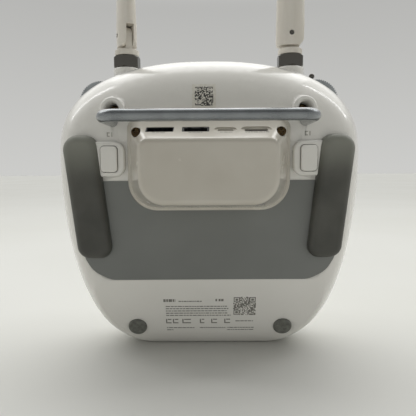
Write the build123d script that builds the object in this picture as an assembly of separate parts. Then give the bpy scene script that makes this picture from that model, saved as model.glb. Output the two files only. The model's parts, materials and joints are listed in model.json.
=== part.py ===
from build123d import *
import math
import os

# Hand-held radio transmitter for a camera drone, standing on its bottom edge.
# Millimetres. +X is the pilot's left hand, +Y the stick side, +Z towards the antennas.
# The two shells meet on the plane Y = 0 and the case stands on Z = 0.

# ---------------------------------------------------------------- driving dimensions
HALF_WIDTH = 87.3      # case, at its widest
TOP_Z = 168.8          # case top edge on the centre line
FLAT_CUT = 2.5         # taken off the bottom to give the standing flat
WIDEST_Z = 113.0       # height at which the case is widest
MID_Z = 100.0          # height that the rounded edges shrink towards
BACK_DEPTH = 31.0      # parting plane to the flat back
FRONT_DEPTH = 25.0     # parting plane to the flat front
WALL = 2.6
FIT = 0.3              # clearance between pieces that move past each other
RUN = 0.05             # radial clearance of a pin in its bore

CHIN_TOP = (-BACK_DEPTH, 44.5)     # (Y, Z) where the flat back turns into the sloping chin
CHIN_LOW = (-20.0, 14.3)

GRIP_TOP_Z = 124.0
GRIP_LOW_Z = 57.6
GRIP_Y = -37.2         # crest of the rubber grips
PANEL_Y = -31.3

MODULE_Z = (84.4, 131.5)           # port module where it meets the back
MODULE_HALF = 42.5
MODULE_FACE_Z = (88.3, 120.2)
MODULE_FACE_HALF = 34.0
MODULE_Y = (-33.0, -56.0)

BAR_R = 3.0            # carrying handle rod
BAR_Y = -58.0
BAR_Z = 131.3
BAR_HALF = 51.6        # centre of the legs

BOSS_X = 51.0
BOSS_Z = 137.4
BUTTON_X = 53.1        # rear custom buttons
BUTTON_Z = 111.2

ANT_X = 50.5
ANT_Y = 10.0
ANT_NUT_Z = (167.6, 175.0)
ANT_COLLAR_Z = (175.0, 178.6)
ANT_HINGE_Z = 187.4
ANT_KNUCKLE_Z = (180.4, 194.6)
ANT_TIP_Z = 284.0
ANT_W = 17.6
ANT_T = 12.0
TONGUE = 4.0
LEFT_TURN = 25.6       # how far the left antenna's fold direction is turned off straight back

STICK_X = 52.5
STICK_Z = 104.0
PIVOT_Y = 10.5
DOME_R = 15.0
DOME_ANGLE = 62.0
WELL_R = 18.0
STICK_TIP_Y = 47.0

DIAL_R = 13.0
DIAL_Y = (1.2, 7.2)
DIAL_X = 65.5
DIAL_Z = 146.0

HINGE_Y = 35.0         # device holder hinge
HINGE_Z = 140.0
ARM_Y = (30.5, 38.0)
ARM_Z = (74.0, 134.0)
LIP_Y = 52.0
JAW_Z = (65.0, 71.5)

SCREW_R = 1.2


# ---------------------------------------------------------------- small helpers
def box(x, y, z):
    """A box from three (low, high) pairs."""
    size = (x[1] - x[0], y[1] - y[0], z[1] - z[0])
    centre = ((x[0] + x[1]) / 2, (y[0] + y[1]) / 2, (z[0] + z[1]) / 2)
    return Pos(*centre) * Box(*size)


def rod(start, end, radius):
    """A round bar between two points."""
    axis = Vector(*end) - Vector(*start)
    plane = Plane(origin=start, z_dir=axis)
    return plane * Cylinder(radius, axis.length, align=(Align.CENTER, Align.CENTER, Align.MIN))


def tube(start, end, outer, inner):
    return rod(start, end, outer) - rod(start, end, inner)


def rounded_bar(x, z, y, radius):
    """A block standing along Y with rounded corners in the XZ plane."""
    sketch = Pos((x[0] + x[1]) / 2, (z[0] + z[1]) / 2) * RectangleRounded(x[1] - x[0], z[1] - z[0], radius)
    return Pos(0, y[1], 0) * extrude(Plane.XZ * sketch, amount=y[1] - y[0])


def outline_bar(points, radii, y):
    """A block standing along Y over an (x, z) outline whose corners are rounded."""
    sketch = make_face(Polyline(*[(px, pz) for px, pz in points], close=True))
    for (px, pz), radius in zip(points, radii):
        corner = sketch.vertices().sort_by_distance((px, pz, 0))[0]
        sketch = fillet(corner, radius)
    return Pos(0, y[1], 0) * extrude(Plane.XZ * sketch, amount=y[1] - y[0])


def turned(profile, x, z, y=0.0):
    """A solid of revolution about a line along Y, from (radius, y) points."""
    face = make_face(Polyline(*profile, close=True))
    spun = revolve(face, Axis.Y)
    return Pos(x, y, z) * spun


def mirrored(shape):
    return mirror(shape, Plane.YZ)


def both(shape):
    """The piece and its mirror image, as two solids."""
    return Compound([*shape.solids(), *mirrored(shape).solids()])


def group(pieces):
    """Separate solids that share one node."""
    return Compound([solid for piece in pieces for solid in piece.solids()])


def save(name, shape):
    solids = shape.solids() if hasattr(shape, "solids") else [shape]
    export_step(solids[0] if len(solids) == 1 else Compound(list(solids)), f"parts/{name}.step")


# ---------------------------------------------------------------- case shape
# The outline is a superellipse above the widest height and a squarer one below it.
SHOULDER_POWERS = (2.3, 2.75)
SKIRT_POWERS = (4.3, 1.9)
OUTLINE_STEPS = 32


def outline_reach(angle):
    """Distance from the middle of the case to its outline, in the direction angle."""
    low, high = 0.0, 2.0 * TOP_Z
    for _ in range(40):
        reach = (low + high) / 2
        x = abs(reach * math.cos(angle)) / HALF_WIDTH
        z = MID_Z + reach * math.sin(angle) - WIDEST_Z
        if z > 0:
            size = x ** SHOULDER_POWERS[0] + (z / (TOP_Z - WIDEST_Z)) ** SHOULDER_POWERS[1]
        else:
            size = x ** SKIRT_POWERS[0] + (-z / (WIDEST_Z + FLAT_CUT)) ** SKIRT_POWERS[1]
        if size < 1:
            low = reach
        else:
            high = reach
    return low


OUTLINE_ANGLES = [math.radians(90 - 360 * i / OUTLINE_STEPS) for i in range(OUTLINE_STEPS)]
OUTLINE = [(outline_reach(angle), angle) for angle in OUTLINE_ANGLES]


def outline_face(y, side, top, low):
    """The case outline on the plane Y = y, drawn in by side, top and low."""
    points = []
    for reach, angle in OUTLINE:
        x = reach * math.cos(angle) * (1 - side / HALF_WIDTH)
        rise = reach * math.sin(angle)
        shrink = top / (TOP_Z - MID_Z) if rise > 0 else low / (MID_Z + FLAT_CUT)
        points.append(Vector(x, y, MID_Z + rise * (1 - shrink)))
    return Face(Wire([Edge.make_spline(points, periodic=True)]))


def domed(depth, side, top, low, inset=0.0):
    """A case half: elliptical edges that end tangent to a flat face at Y = depth."""
    faces = []
    for angle in (0, 25, 45, 62, 76, 86, 90):
        draw = 1 - math.cos(math.radians(angle))
        y = depth * math.sin(math.radians(angle))
        faces.append(outline_face(y, inset + side * draw, inset + top * draw, inset + low * draw))
    return loft(faces)


def chin_cutter(shift):
    """What lies outside the sloping chin; shift moves the slope into the case."""
    with BuildPart() as cutter:
        with BuildSketch(Plane.YZ):
            with BuildLine():
                slope = Line((CHIN_TOP[0] + shift, CHIN_TOP[1]), (CHIN_LOW[0] + shift, CHIN_LOW[1]))
                toe = TangentArc(slope @ 1, (-7.0 + shift, -1.5), tangent=slope % 1)
                down = Line(toe @ 1, (toe @ 1) + Vector(0, -20))
                out = Line(down @ 1, (-80, (down @ 1).Y))
                up = Line(out @ 1, (-80, CHIN_TOP[1]))
                Line(up @ 1, slope @ 0)
            make_face()
        extrude(amount=HALF_WIDTH + 20, both=True)
    return cutter.part


BACK_EDGES = dict(side=14.0, top=32.0, low=28.0)
FRONT_EDGES = dict(side=16.0, top=22.0, low=20.0)


def back_solid():
    body = domed(-BACK_DEPTH, **BACK_EDGES) - chin_cutter(0.0)
    body = body.solids()[0]
    creases = [e for e in body.edges()
               if (e @ 0.5).Y < -8 and (e @ 0.5).Z < 46 and abs((e @ 0.5).Z - CHIN_LOW[1]) > 1]
    return body.fillet(5.0, creases)


def back_cavity():
    return domed(-(BACK_DEPTH - WALL), **BACK_EDGES, inset=WALL) - chin_cutter(WALL + 0.4)


def front_solid():
    return domed(FRONT_DEPTH, **FRONT_EDGES)


def front_cavity():
    return domed(FRONT_DEPTH - WALL, **FRONT_EDGES, inset=WALL)


BELOW = box((-120, 120), (-60, 60), (-20, 0))
GRIP_OUTLINE = [(60.0, GRIP_TOP_Z), (78.6, GRIP_TOP_Z), (71.0, GRIP_LOW_Z), (52.6, GRIP_LOW_Z)]
GRIP_RADII = [7.0, 8.0, 7.0, 6.0]
PANEL_OUTLINE = [(-60, 99.5), (60, 99.5), (69.3, 58.5), (64, 49.6), (54.5, 44.9),
                 (-54.5, 44.9), (-64, 49.6), (-69.3, 58.5)]
PANEL_RADII = [4, 4, 8, 14, 14, 14, 14, 8]
PANEL_BED = -29.9      # bottom of the panel's pocket in the back
POSTS = [(66.0, 70.0), (27.0, 130.0)]
BRACKET_SCREWS = [(-8.0, 128.0), (8.0, 128.0), (-8.0, 143.0), (8.0, 143.0)]
FOOT_AT = (42.3, 14.0)


def grip_solid(shell):
    """One moulded rubber grip, cut to lie on the case."""
    pad = outline_bar(GRIP_OUTLINE, GRIP_RADII, (GRIP_Y, -18.0))
    crest = pad.faces().sort_by(Axis.Y)[0].edges()
    pad = fillet(crest, 4.2)
    return pad - shell


def pod_solid():
    """The raised bezel round a rear button, up against the grip."""
    outline = [(44.8, 120.6), (62.0, 120.6), (62.0, 101.8), (44.8, 101.8)]
    pod = outline_bar(outline, [5.5, 1.0, 1.0, 5.5], (-34.2, -BACK_DEPTH + WALL - 0.1))
    crest = pod.faces().sort_by(Axis.Y)[0].edges()
    return fillet(crest, 1.4)


def make_back_shell(outer, grips, pods):
    shell = outer - back_cavity() - BELOW
    shell += both(pods)
    boss = rod((BOSS_X, -20.0, BOSS_Z), (BOSS_X, -33.6, BOSS_Z), 6.6)
    boss = fillet(boss.faces().sort_by(Axis.Y)[0].edges(), 1.2)
    shell += both(boss)
    for x, z in POSTS:
        shell += both(rod((x, -BACK_DEPTH + WALL, z), (x, 0.0, z), 3.4) & outer)
    holes = [outline_bar(PANEL_OUTLINE, PANEL_RADII, (-40.0, PANEL_BED))]
    for s in (-1, 1):
        holes.append(rod((s * BOSS_X, -40.0, BOSS_Z), (s * BOSS_X, -23.5, BOSS_Z), 3.6))
        holes.append(rod((s * BOSS_X, -30.0, BOSS_Z), (s * BOSS_X, -10.0, BOSS_Z), SCREW_R))
        holes.append(rod((s * BAR_HALF, -40.0, BAR_Z), (s * BAR_HALF, -24.0, BAR_Z), BAR_R))
        holes.append(rod((s * MODULE_SCREW_X, -40.0, MODULE_SCREW_Z), (s * MODULE_SCREW_X, -22.0, MODULE_SCREW_Z),
                         SCREW_R))
        for x, z in POSTS:
            holes.append(rod((s * x, -32.0, z), (s * x, 1.0, z), SCREW_R))
            holes.append(rod((s * x, -40.0, z), (s * x, -25.5, z), 2.6))
        holes.append(rounded_bar((s * BUTTON_X - 4.8, s * BUTTON_X + 4.8), (BUTTON_Z - 7.2, BUTTON_Z + 7.2),
                                 (-40.0, -22.0), 2.3))
        holes.append(foot_solid(s * FOOT_AT[0], FOOT_AT[1]))
    shell = shell - holes - grips
    return shell.solids().sort_by(SortBy.VOLUME)[-1]


def make_back_panel():
    """The grey skin let into the flat back, under the module and the grips."""
    return outline_bar(PANEL_OUTLINE, PANEL_RADII, (PANEL_Y, PANEL_BED))


# ---------------------------------------------------------------- feet
CHIN_SLOPE = math.atan2(CHIN_LOW[0] - CHIN_TOP[0], CHIN_TOP[1] - CHIN_LOW[1])
FOOT_R = 5.4


def foot_solid(x, z):
    """A domed rubber foot set square to the chin."""
    y = CHIN_TOP[0] + (CHIN_TOP[1] - z) * math.tan(CHIN_SLOPE)
    plane = Plane(origin=(x, y, z), z_dir=(0, -math.cos(CHIN_SLOPE), -math.sin(CHIN_SLOPE)))
    disc = Pos(0, 0, -1.6) * Cylinder(FOOT_R, 3.0, align=(Align.CENTER, Align.CENTER, Align.MIN))
    return plane * fillet(disc.edges().sort_by(Axis.Z)[-1], 1.2)


# ---------------------------------------------------------------- front shell
PUSH_BUTTONS = {
    "record_button": (46.0, 134.0, 4.6),
    "shutter_button": (-46.0, 134.0, 4.6),
    "playback_button": (-34.5, 143.0, 3.0),
    "return_home_button": (-25.0, 42.0, 5.6),
    "power_button": (25.0, 42.0, 5.6),
}
LED_X = [-9.0, -3.0, 3.0, 9.0]
LED_Z = 42.0
STATUS_Z = 53.0
SPEAKER_Z = 22.0
JACK_X = 14.0
USB_X = -14.0
JACK_Z = 12.0


def speaker_holes():
    holes = [rod((0, 20, SPEAKER_Z), (0, 30, SPEAKER_Z), 0.8)]
    for ring, count in ((3.2, 6), (6.4, 12)):
        for i in range(count):
            a = 2 * math.pi * i / count
            x = ring * math.cos(a)
            z = SPEAKER_Z + ring * math.sin(a)
            holes.append(rod((x, 20, z), (x, 30, z), 0.8))
    return holes


def make_front_shell():
    outer = front_solid()
    base = rod((ANT_X, ANT_Y, 158), (ANT_X, ANT_Y, ANT_NUT_Z[0]), 8.4)
    base = fillet(base.edges().sort_by(Axis.Z)[-1], 1.0)
    shell = outer + both(base) - front_cavity() - BELOW
    for x, z in POSTS:
        shell += both(rod((x, 0, z), (x, FRONT_DEPTH - WALL, z), 3.4) & outer)
    holes = speaker_holes()
    holes += [rod((x, 12, z), (x, 30, z), r + FIT) for x, z, r in PUSH_BUTTONS.values()]
    holes += [rod((x, 20, LED_Z), (x, 30, LED_Z), 0.9) for x in LED_X]
    holes.append(rod((0, 20, STATUS_Z), (0, 30, STATUS_Z), 1.4))
    holes.append(rod((JACK_X, 12, JACK_Z), (JACK_X, 30, JACK_Z), 4.6))
    holes.append(rounded_bar((USB_X - 4.3, USB_X + 4.3), (JACK_Z - 2.0, JACK_Z + 2.0), (12, 30), 1.0))
    holes.append(rod((SWITCH_X, SWITCH_Y, 140), (SWITCH_X, SWITCH_Y, 175), 3.0))
    for s in (-1, 1):
        holes.append(rod((s * ANT_X, ANT_Y, 150), (s * ANT_X, ANT_Y, 170), 3.0))
        holes.append(rod((s * STICK_X, 15, STICK_Z), (s * STICK_X, 30, STICK_Z), WELL_R))
        holes.append(rod((s * DIAL_X, DIAL_Y[0] - 0.6, DIAL_Z), (s * DIAL_X, DIAL_Y[1] + FIT, DIAL_Z),
                         DIAL_R + 0.6))
        holes += [rod((s * x, -1, z), (s * x, 12, z), SCREW_R) for x, z in POSTS]
    holes += [rod((x, 20, z), (x, 30, z), SCREW_R) for x, z in BRACKET_SCREWS]
    shell = shell - holes
    return shell.solids().sort_by(SortBy.VOLUME)[-1]


# ---------------------------------------------------------------- port module
MODULE_SCREW_X = 37.0
MODULE_SCREW_Z = 124.6
PORT_RISE = (MODULE_Z[1] - MODULE_FACE_Z[1]) / (MODULE_Y[0] - MODULE_Y[1])
PORT_TILT = math.atan(PORT_RISE)
PORT_NORMAL = (0, -math.sin(PORT_TILT), math.cos(PORT_TILT))
PORT_Y = -44.6
PORT_Z = MODULE_FACE_Z[1] + (PORT_Y - MODULE_Y[1]) * PORT_RISE


def port_plane(x, sink=0.0):
    """A plane on the sloping port face: its X is across, its Z points out of the ports."""
    origin = Vector(x, PORT_Y, PORT_Z) - Vector(*PORT_NORMAL) * sink
    return Plane(origin=origin, x_dir=(1, 0, 0), z_dir=PORT_NORMAL)


def module_section(y, half, z, low_radius, top_radius):
    points = [(-half, z[1]), (half, z[1]), (half, z[0]), (-half, z[0])]
    sketch = make_face(Polyline(*points, close=True))
    for (px, pz), radius in zip(points, (top_radius, top_radius, low_radius, low_radius)):
        sketch = fillet(sketch.vertices().sort_by_distance((px, pz, 0))[0], radius)
    return Pos(0, y, 0) * (Plane.XZ * sketch)


def module_body(inset):
    base_y = PANEL_Y
    near = module_section(base_y, MODULE_HALF - inset, (MODULE_Z[0] + inset, MODULE_Z[1] + 0.8 - inset),
                          15.0 - inset, 5.0 - inset)
    far = module_section(MODULE_Y[1] + inset, MODULE_FACE_HALF - inset,
                         (MODULE_FACE_Z[0] + inset, MODULE_FACE_Z[1] - inset), 13.0 - inset, 5.0 - inset)
    return loft([near.face(), far.face()], ruled=True)


def port_cut(x, width, height, radius, depth=16.0, sink=-2.0):
    sketch = RectangleRounded(width, height, radius)
    return port_plane(x, sink) * extrude(sketch, amount=-depth)


PORTS = {
    "usb_a": (-24.6, 14.2, 6.6),
    "can": (-6.5, 13.8, 6.8),
    "micro_usb": (8.6, 7.8, 3.0),
    "mini_hdmi": (24.1, 11.9, 4.2),
}


def make_module_shell():
    outer = module_body(0.0)
    face_edges = outer.faces().sort_by(Axis.Y)[0].edges()
    outer = fillet(face_edges, 3.2)
    flange = outline_bar([(-43.6, 132.9), (43.6, 132.9), (43.6, 83.4), (-43.6, 83.4)], [6, 6, 16, 16],
                         (PANEL_Y - 1.2, PANEL_Y))
    flange = fillet(flange.faces().sort_by(Axis.Y)[0].edges(), 0.6)
    shell = outer + flange - module_body(2.0) - Pos(0, 1.0, 0) * module_body(2.0)
    for side in (-1, 1):
        x = side * MODULE_SCREW_X
        shell += rod((x, -50, MODULE_SCREW_Z), (x, PANEL_Y, MODULE_SCREW_Z), 3.9) & outer
        shell = shell - rod((x, -60, MODULE_SCREW_Z), (x, -41.5, MODULE_SCREW_Z), 2.9)
        shell = shell - rod((x, -60, MODULE_SCREW_Z), (x, -30, MODULE_SCREW_Z), SCREW_R)
    for name, (x, width, height) in PORTS.items():
        if name == "usb_a" or name == "can":
            shell = shell - port_cut(x, width, height, 0.6)
        else:
            shell = shell - port_cut(x, width + 3.4, height + 2.2, height / 2 + 1.0, depth=2.8)
            shell = shell - port_cut(x, width, height, 0.8)
    return shell.solids().sort_by(SortBy.VOLUME)[-1]


def make_usb_a():
    x, width, height = PORTS["usb_a"]
    case = port_cut(x, width, height, 0.6, depth=14.0, sink=0.3)
    bore = port_cut(x, width - 1.0, height - 1.0, 0.4, depth=12.6, sink=-0.5)
    tongue = port_plane(x, 2.0) * (Pos(0, 1.1, -5.6) * Box(width - 2.6, 1.8, 11.2))
    return Compound([*(case - bore).solids(), *(tongue & bore).solids()])


def make_can():
    x, width, height = PORTS["can"]
    block = port_cut(x, width, height, 0.6, depth=14.0, sink=0.3)
    for step in (-3.2, 3.2):
        block = block - port_plane(x + step) * (Pos(0, 2.3, -4.0) * Box(2.0, 1.4, 9.0))
    block = block - port_cut(x, width - 2.0, height - 2.4, 0.4, depth=8.0, sink=-0.5)
    pins = [port_plane(x + k * 2.6, 8.0) * (Pos(0, 0, 2.0) * Box(0.7, 0.7, 6.0)) for k in (-1.5, -0.5, 0.5, 1.5)]
    return Compound([*(block).solids(), *[p.solids()[0] - block for p in pins]])


def make_small_port(name, tongue_height):
    x, width, height = PORTS[name]
    case = port_cut(x, width, height, 0.8, depth=9.0, sink=1.6)
    bore = port_cut(x, width - 0.8, height - 0.8, 0.5, depth=9.0, sink=0.5)
    tongue = port_plane(x, 2.4) * (Pos(0, 0, -4.0) * Box(width - 2.8, tongue_height, 8.0))
    return Compound([*(case - bore).solids(), *(tongue & bore).solids()])


# ---------------------------------------------------------------- handle bar
def make_handle_bar():
    bend = 7.0
    path = FilletPolyline((-BAR_HALF, -24.0, BAR_Z), (-BAR_HALF, BAR_Y, BAR_Z),
                          (BAR_HALF, BAR_Y, BAR_Z), (BAR_HALF, -24.0, BAR_Z), radius=bend)
    start = Plane(origin=path @ 0, z_dir=path % 0)
    return sweep(start * Circle(BAR_R), path=path)


# ---------------------------------------------------------------- screws
def screw(start, direction, head_r, head_h, length):
    """A cross-recess pan screw; start is under its head and direction points up out of the hole."""
    plane = Plane(origin=start, z_dir=direction)
    base = (Align.CENTER, Align.CENTER, Align.MIN)
    top = (Align.CENTER, Align.CENTER, Align.MAX)
    head = Cylinder(head_r, head_h, align=base)
    head = fillet(head.edges().sort_by(Axis.Z)[-1], head_h * 0.35)
    for turn in (0, 90):
        head = head - Rot(0, 0, turn) * (Pos(0, 0, head_h) * Box(head_r * 1.1, 0.6, head_h))
    return plane * (head + Cylinder(SCREW_R, length, align=top))


def make_screws():
    back = (0, -1, 0)
    module = [screw((s * MODULE_SCREW_X, -41.5, MODULE_SCREW_Z), back, 2.5, 1.6, 16.0) for s in (-1, 1)]
    handle = [screw((s * BOSS_X, -23.5, BOSS_Z), back, 3.1, 2.2, 11.0) for s in (-1, 1)]
    case = [screw((s * x, -25.5, z), back, 2.4, 1.6, 36.0) for x, z in POSTS for s in (-1, 1)]
    bracket = [screw((x, 28.0, z), (0, 1, 0), 2.0, 1.2, 7.0) for x, z in BRACKET_SCREWS]
    save("module_screws", group(module))
    save("case_screws", group(handle + case))
    save("bracket_screws", group(bracket))


# ---------------------------------------------------------------- antennas
def ellipse_bar(width, thick, z0, z1, top_width, top_thick):
    low = Pos(0, 0, z0) * Ellipse(width / 2, thick / 2)
    high = Pos(0, 0, z1) * Ellipse(top_width / 2, top_thick / 2)
    return loft([low.face(), high.face()])


def antenna_parts():
    """The right-hand antenna about its own axis: flat sides face Y, it folds towards +X."""
    nut_low, nut_high = ANT_NUT_Z
    hexagon = extrude(Pos(0, 0, nut_low) * RegularPolygon(8.6, 6, rotation=30), amount=nut_high - nut_low)
    round_off = Pos(0, 0, nut_low) * Cylinder(8.25, nut_high - nut_low, align=(Align.CENTER, Align.CENTER, Align.MIN))
    round_off = chamfer(round_off.edges(), 0.8)
    nut = (hexagon & round_off) - rod((0, 0, nut_low - 1), (0, 0, nut_high + 1), 5.6)
    spigot = tube((0, 0, 158.5), (0, 0, nut_low + 6.4), 3.0, 1.2)
    spigot += tube((0, 0, nut_low + 0.4), (0, 0, nut_high - 0.4), 5.5, 3.6) & tube(
        (0, 0, nut_low + 0.4), (0, 0, nut_low + 2.0), 5.5, 2.9)

    collar = rod((0, 0, ANT_COLLAR_Z[0] + 0.1), (0, 0, ANT_COLLAR_Z[1]), 7.4)
    collar = fillet(collar.edges(), 0.5)
    stem = rod((0, 0, nut_low + 3.0), (0, 0, ANT_COLLAR_Z[0] + 0.2), 3.5) - rod((0, 0, 160), (0, 0, 175), 3.05)
    tongue_box = box((-5.2, 5.2), (-TONGUE / 2, TONGUE / 2), (ANT_COLLAR_Z[1] - 0.4, ANT_HINGE_Z))
    eye = rod((0, -TONGUE / 2, ANT_HINGE_Z), (0, TONGUE / 2, ANT_HINGE_Z), 5.2)
    tongue = tongue_box + eye
    swivel = collar + stem + tongue
    swivel = swivel - rod((0, -9, ANT_HINGE_Z), (0, 9, ANT_HINGE_Z), 1.5 + RUN)

    knuckle = ellipse_bar(ANT_W - 0.8, ANT_T - 0.4, ANT_KNUCKLE_Z[0], ANT_KNUCKLE_Z[0] + 2.4, ANT_W, ANT_T)
    knuckle += ellipse_bar(ANT_W, ANT_T, ANT_KNUCKLE_Z[0] + 2.4, ANT_KNUCKLE_Z[1], ANT_W, ANT_T)
    gap = TONGUE / 2 + FIT
    knuckle = knuckle - rod((0, -gap, ANT_HINGE_Z), (0, gap, ANT_HINGE_Z), 5.2 + FIT)
    knuckle = knuckle - box((-5.5, 12), (-gap, gap), (ANT_KNUCKLE_Z[0] - 1, ANT_HINGE_Z + 5.5))
    knuckle = knuckle - rod((0, -9, ANT_HINGE_Z), (0, 9, ANT_HINGE_Z), 1.5)
    reach = ANT_HINGE_Z - ANT_COLLAR_Z[1] - FIT     # clears the collar as the knuckle folds over it
    heel = box((0, 12), (-ANT_T, ANT_T), (ANT_KNUCKLE_Z[0] - 1, ANT_HINGE_Z))
    heel = heel - rod((0, -ANT_T, ANT_HINGE_Z), (0, ANT_T, ANT_HINGE_Z), reach)
    flat = box((reach, 12), (-ANT_T, ANT_T), (ANT_HINGE_Z - 1, ANT_KNUCKLE_Z[1]))
    knuckle = knuckle - heel - flat

    blade = ellipse_bar(ANT_W - 0.3, ANT_T - 0.3, ANT_KNUCKLE_Z[1], ANT_KNUCKLE_Z[1] + 46, ANT_W - 1.4, 9.4)
    blade += ellipse_bar(ANT_W - 1.4, 9.4, ANT_KNUCKLE_Z[1] + 46, ANT_TIP_Z, ANT_W - 2.6, 6.6)
    blade = fillet(blade.edges().sort_by(Axis.Z)[-1], 1.4)
    half = ANT_T / 2 * 0.9
    pin = rod((0, -half, ANT_HINGE_Z), (0, half, ANT_HINGE_Z), 1.5)
    return {"nut": nut, "spigot": spigot, "swivel": swivel, "knuckle": knuckle, "blade": blade, "pin": pin}


def make_antennas():
    pieces = antenna_parts()
    fixed = []
    for side, x, turn in (("right", ANT_X, 0.0), ("left", -ANT_X, -90.0 + LEFT_TURN)):
        place = Pos(x, ANT_Y, 0) * Rot(0, 0, turn)
        for name in ("swivel", "knuckle", "blade", "pin"):
            save(f"{side}_antenna_{name}", place * pieces[name])
        fixed += [place * pieces["nut"], place * pieces["spigot"]]
    save("antenna_connectors", group(fixed))


# ---------------------------------------------------------------- sticks
def make_sticks():
    """Two-axis stick units: a frame, a yoke on an X axis, and the stick on a Z axis in it."""
    frame_box = box((-21, 21), (-3.0, 20.5), (-21, 21))
    frame_hole = box((-17, 17), (0.0, 30), (-17, 17))
    frame = frame_box - frame_hole
    frame = frame - rod((-30, PIVOT_Y, 0), (30, PIVOT_Y, 0), 1.2 + RUN)

    yoke = tube((0, PIVOT_Y - 2.2, 0), (0, PIVOT_Y + 2.2, 0), 10.5, 6.0)
    for s in (-1, 1):
        yoke += rod((s * 8.5, PIVOT_Y, 0), (s * 19.5, PIVOT_Y, 0), 1.2)
    yoke = yoke - tube((0, PIVOT_Y - 3, 0), (0, PIVOT_Y + 3, 0), 6.0, 1.0)
    yoke = yoke - rod((0, PIVOT_Y, -12), (0, PIVOT_Y, 12), 1.0 + RUN)

    hub = Pos(0, PIVOT_Y, 0) * Sphere(4.2)
    shaft = rod((0, PIVOT_Y, 0), (0, STICK_TIP_Y - 2.0, 0), 2.4) + hub
    shaft += rod((0, PIVOT_Y, -9.6), (0, PIVOT_Y, 9.6), 1.0)
    dome = Pos(0, PIVOT_Y, 0) * (Sphere(DOME_R) - Sphere(DOME_R - 1.2))
    dome = dome & box((-20, 20), (PIVOT_Y + DOME_R * math.cos(math.radians(DOME_ANGLE)), 40), (-20, 20))
    dome = dome - rod((0, 0, 0), (0, 60, 0), 2.4)
    cap_profile = [(2.4, 34.5), (3.9, 34.5), (4.7, 36.5), (4.9, STICK_TIP_Y - 1.2), (4.2, STICK_TIP_Y),
                   (1.6, STICK_TIP_Y - 0.9), (0.0, STICK_TIP_Y - 0.9), (0.0, STICK_TIP_Y - 2.0),
                   (2.4, STICK_TIP_Y - 2.0)]
    cap = turned(cap_profile, 0, 0)
    bezel_profile = [(10.4, 21.8), (WELL_R, 21.8), (WELL_R, FRONT_DEPTH), (19.8, FRONT_DEPTH), (19.8, 25.9),
                     (18.4, 25.9), (10.4, 22.8)]
    bezel = turned(bezel_profile, 0, 0)
    moving = {"yoke": yoke, "shaft": shaft, "dome": dome, "cap": cap}
    for side, x in (("left", -STICK_X), ("right", STICK_X)):
        for name, piece in moving.items():
            save(f"{side}_stick_{name}", Pos(x, 0, STICK_Z) * piece)
    places = [Pos(x, 0, STICK_Z) for x in (-STICK_X, STICK_X)]
    save("stick_frames", group([place * frame for place in places]))
    save("stick_bezels", group([place * bezel for place in places]))


# ---------------------------------------------------------------- dials and buttons
def make_dial(side):
    """A thumb wheel that turns on its axle."""
    x = side * DIAL_X
    wheel = rod((x, DIAL_Y[0], DIAL_Z), (x, DIAL_Y[1], DIAL_Z), DIAL_R)
    wheel = chamfer(wheel.edges(), 0.6)
    return wheel - rod((x, 0, DIAL_Z), (x, 10, DIAL_Z), 1.5 + RUN)


def make_dial_axle(front):
    """Both wheels' axles, held by the front shell."""
    axle = rod((DIAL_X, 0.3, DIAL_Z), (DIAL_X, 24.0, DIAL_Z), 1.5)
    axle += rod((DIAL_X, 8.2, DIAL_Z), (DIAL_X, 24.0, DIAL_Z), 2.2)
    inside = (axle - front).solids().sort_by(SortBy.VOLUME)[-1]
    return both(inside)


SWITCH_X = 64.0
SWITCH_Y = 9.5
SWITCH_PIVOT_Z = 151.5
SWITCH_TIP_Z = 162.4


def make_mode_switch():
    lever = rod((SWITCH_X, SWITCH_Y, SWITCH_PIVOT_Z), (SWITCH_X, SWITCH_Y, SWITCH_TIP_Z), 1.1)
    lever += Pos(SWITCH_X, SWITCH_Y, SWITCH_TIP_Z) * Sphere(1.7)
    lever += rod((SWITCH_X, SWITCH_Y - 1.8, SWITCH_PIVOT_Z), (SWITCH_X, SWITCH_Y + 1.8, SWITCH_PIVOT_Z), 1.9)
    return lever


def make_push_button(x, z, r):
    cap = rod((x, 21.0, z), (x, FRONT_DEPTH + 1.2, z), r)
    cap = fillet(cap.edges().sort_by(Axis.Y)[-1], 0.6)
    return cap + rod((x, 20.0, z), (x, 21.6, z), r + 1.0)


def make_rear_button(side):
    x = side * BUTTON_X
    cap = rounded_bar((x - 4.45, x + 4.45), (BUTTON_Z - 6.9, BUTTON_Z + 6.9), (-35.5, -27.0), 2.0)
    cap = fillet(cap.faces().sort_by(Axis.Y)[0].edges(), 0.7)
    return cap + rounded_bar((x - 6.2, x + 6.2), (BUTTON_Z - 8.6, BUTTON_Z + 8.6), (-27.9, -26.8), 2.0)


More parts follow.
